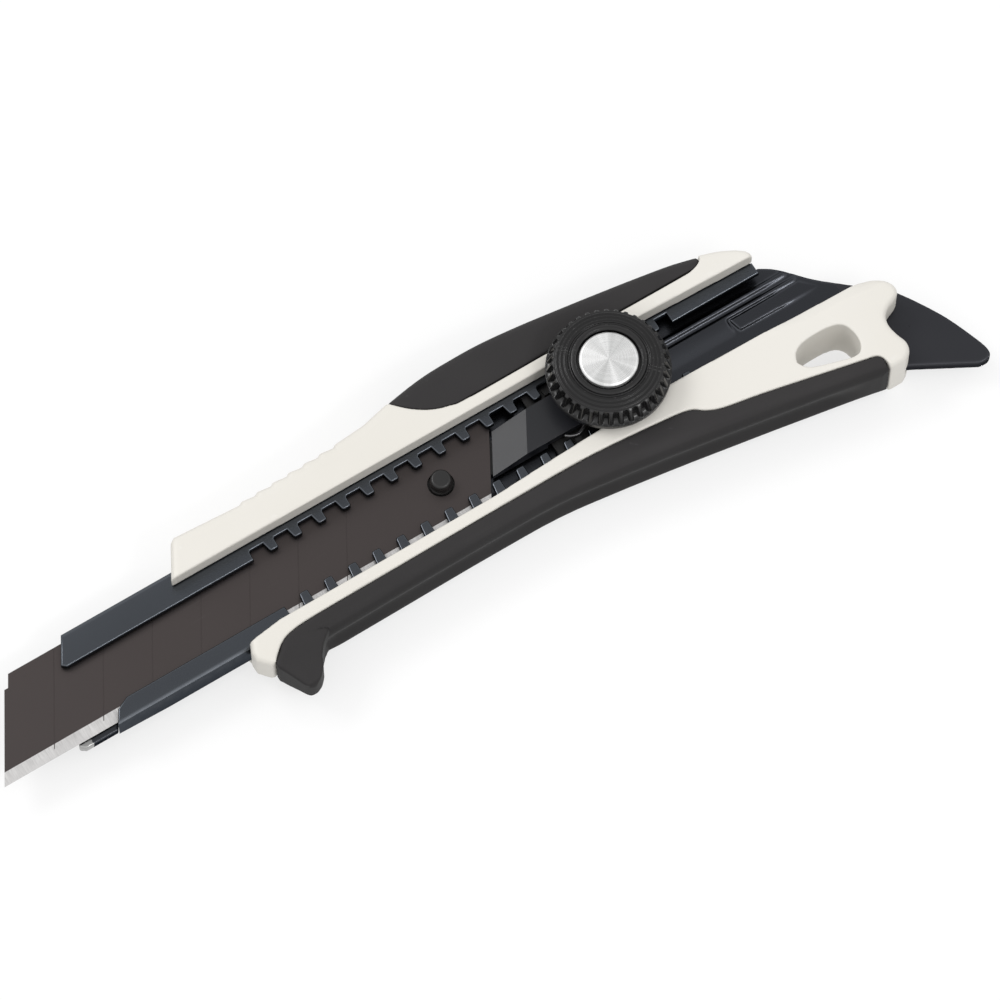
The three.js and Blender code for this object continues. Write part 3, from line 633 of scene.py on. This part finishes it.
def creased(shell):
    """Past a crease the hook's top slopes away towards the fin's slot."""
    points = points_of(shell.data)
    x, y, z = points.T
    crease = np.interp(x, CREASE_X, CREASE_Y)
    beyond = np.clip(y - crease, 0, CREASE_WIDTH) * ramp(x, CREASE_X[0], CREASE_FADE)
    near_top = ramp(z, CREASE_FOOT, CREASE_HEIGHT)
    points[:, 2] -= np.where(y < RIDGE_Y, CREASE_SLOPE * beyond * near_top, 0)
    set_points(shell.data, points)


def make_grips(mats):
    for cad_node, name in (("upper_grip", "upper_pad"), ("lower_grip", "lower_pad")):
        grip = moulded(cad_copy(cad_node, name, mats["grip"]), SKIN_VOXEL, 8, pressed, 150000)
        ready(grip, "handle", "grip_elastomer", cad_node)


def pressed(grip):
    """The grip reaches sideways to the shell that it is moulded on, and its flank under the hand is
    a little hollow above its foot."""
    points = points_of(grip.data)
    normals = vertex_values(grip.data, "normal")
    reach = points + normals * (SEAM_REACH, SEAM_REACH, 0)
    points = np.clip(reach, points.min(axis=0), points.max(axis=0))
    x, y, z = points.T
    outward = np.clip(-normals[:, 1] * FLANK_GAIN, 0, 1) * (y < 0)
    along = ramp(x, HOLLOW_FRONT, 6.0) * ramp(x, HOLLOW_BACK, -8.0)
    hollow = np.clip(1 - np.abs(z - HOLLOW_Z) / HOLLOW_HALF, 0, 1)
    points[:, 1] += HOLLOW_DEPTH * outward * along * hollow * hollow * (3 - 2 * hollow)
    set_points(grip.data, points)


# ---- Steel ----
def make_steel(mats):
    channel = cad_copy("blade_holder", "steel_channel", mats["holder"])
    eased(channel, LIP_ROUND, lambda edge: level_at(edge, LIP_TOP))
    rounded_edges(channel, 0.06)
    ready(channel, "handle", "coated_steel", "blade_holder")
    core = moulded(cad_copy("spine_plate", "core_and_fin", mats["core"], mats["fin"],
                            mats["steel"]), CORE_VOXEL, 3)
    soften_past(core, RAILS_X, RAILS_PASSES)
    for face in core.data.polygons:
        x, y = face.center.x / MM, face.center.y / MM
        if x > FIN_X:
            face.material_index = 1
        elif x < TONGUE_BRIGHT_X and y < TONGUE_BRIGHT_Y:
            face.material_index = 2
    ready(core, "handle", "coated_steel", "spine_plate")
    for i in (1, 2, 3):
        name = f"handle_screw_{i}"
        screw = rounded_edges(cad_copy(name, f"back_screw_{i}", mats["steel"]), 0.12)
        ready(screw, "handle", "bright_steel", name)


def soften_past(piece, x, passes):
    """Past x the piece's edges are rounded more."""
    group = piece.vertex_groups.new(name="past")
    group.add(np.flatnonzero(points_of(piece.data)[:, 0] > x).tolist(), 1.0, "REPLACE")
    soften(piece, passes, group.name)
    smooth_shaded(piece)


# ---- Slider and blade ----
def make_slider(mats):
    block = rounded_edges(cad_copy("slider_block", "slider", mats["black"]), 0.12, 3, 10)
    ready(block, "slider", "black_plastic", "slider_block")
    strip = rounded_edges(cad_copy("slider_carrier", "carrier_strip", mats["pin"]), 0.1)
    ready(strip, "slider", "coated_steel", "slider_carrier")
    profile = round_corners([(0, 5.75), (2.2, 5.75), (2.2, 6.6), (1.9, 6.95), (1.9, 8.55),
                             (1.55, 8.86), (0, 8.9)], 0.16)
    pin = lathe("tail_pin", refined(profile, 0.3), 64, (PIN_X, PIN_Y), mats["pin"])
    ready(pin, "slider", "coated_steel", "blade_pin")
    route = spline_points([(18, -4.75, WIRE_Z), (18.9, -5.4, WIRE_Z), (20.2, -5.75, WIRE_Z),
                           (21.4, -5.35, WIRE_Z), (22.3, -4.75, WIRE_Z)], 8)
    wire = tube("click_wire", route, WIRE_R, mats["wire"])
    ready(wire, "slider", "bright_steel", "click_spring")


def make_coil(mats):
    """The spring that pushes the clamp plate down."""
    route = []
    for i in range(COIL_STEPS + 1):
        turn = i / COIL_STEPS * COIL_TURNS * 2 * math.pi
        z = COIL_BOTTOM + i / COIL_STEPS * (COIL_TOP - COIL_BOTTOM)
        route.append((DIAL_X + COIL_R * math.cos(turn), COIL_R * math.sin(turn), z))
    coil = tube("clamp_coil", route, COIL_WIRE_R, mats["wire"], 10)
    ready(coil, "slider", "bright_steel", "release_spring")
    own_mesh(coil)


def make_blade(mats):
    blade = cad_copy("blade", "snap_blade", mats["blade"], mats["ground"])
    points = points_of(blade.data)
    in_score = np.abs(points[:, 2] - (BLADE_TOP - SCORE_DEPTH)) < 0.02
    points[in_score, 2] = BLADE_TOP - SHOWN_SCORE_DEPTH
    set_points(blade.data, points)
    flat_shaded(rounded_edges(blade, 0.04, 1))
    for face in blade.data.polygons:
        if face.center.y / MM < BEVEL_EDGE_Y - 0.03 and abs(face.normal.z) > 0.9:
            face.material_index = 1
    ready(blade, "slider", "blade_steel", "blade")


# ---- Dial ----
def make_dial(mats):
    scallop_low = DIAL_BOTTOM + 1.0
    profile = round_corners([
        (3.4, DIAL_BOTTOM), (DIAL_R, DIAL_BOTTOM), (DIAL_R, scallop_low), (DIAL_R - 0.15, scallop_low),
        (DIAL_TOP_R + 0.1, SCALLOP_TOP), (DIAL_TOP_R - 0.3, 17.15), (9.5, 17.2), (9.38, 17.42),
        (8.8, 17.42), (8.66, 17.64), (8.05, 17.64), (7.9, 17.86), (7.4, 17.86), (7.25, 17.66),
        (7.0, 17.66), (6.75, 18.08), (6.1, 18.2), (5.75, 17.85), (5.72, 16.9), (3.4, 16.9),
    ], 0.07)

    def notched(r, z, angle):
        if not scallop_low < z < SCALLOP_TOP + SCALLOP_RUNOUT:
            return r
        phase = (angle * SCALLOPS / (2 * math.pi)) % 1.0
        pocket = np.clip((SCALLOP_HALF - abs(phase - 0.5)) / SCALLOP_WALL, 0, 1)
        pocket = pocket * pocket * (3 - 2 * pocket)
        fade = ramp(z, scallop_low, SCALLOP_FADE)
        return min(r, r - pocket * fade * (r - DIAL_TOP_R + SCALLOP_DEPTH))

    rim = refined(profile, 0.3)
    knob = lathe("dial_knob", rim, SCALLOPS * 14, (DIAL_X, 0), mats["dial"], notched)
    ready(knob, "dial", "dial_plastic", "lock_dial")
    cap_profile = round_corners([(0, 17.1), (CAP_R, 17.1), (CAP_R, 18.0), (CAP_R - 0.35, 18.24),
                                 (2.6, 18.36), (0, CAP_TOP)], 0.08)
    cap = lathe("dial_disc", refined(cap_profile, 0.35), 128, (DIAL_X, 0), mats["cap"])
    ready(cap, "dial", "cap_metal", "dial_cap")


def dress_hidden(mats):
    """The CAD nodes that stay as they are get their materials."""
    for name, kind in (("clamp_plate", "pin"), ("clamp_stud", "steel"), ("dial_nut", "brass"),
                       ("friction_washer", "brass")):
        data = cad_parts[name].data
        data.materials.clear()
        data.materials.append(mats[kind])


def make_floor(mats):
    bm = bmesh.new()
    bmesh.ops.create_grid(bm, x_segments=12, y_segments=12, size=FLOOR_HALF)
    floor = from_bmesh("floor", bm, mats["floor"])
    floor.location.z = FLOOR_Z


world_setup()
camera()
softbox("key", (-0.40, 0.72, 0.87), (0.6, 0.4), 4.2)
softbox("fill", (0.25, -0.76, 0.91), (0.45, 0.16), 2.6)
mats = make_materials()
make_floor(mats)
make_shell(mats)
make_grips(mats)
make_steel(mats)
make_slider(mats)
make_coil(mats)
make_blade(mats)
make_dial(mats)
dress_hidden(mats)

bpy.context.view_layer.update()
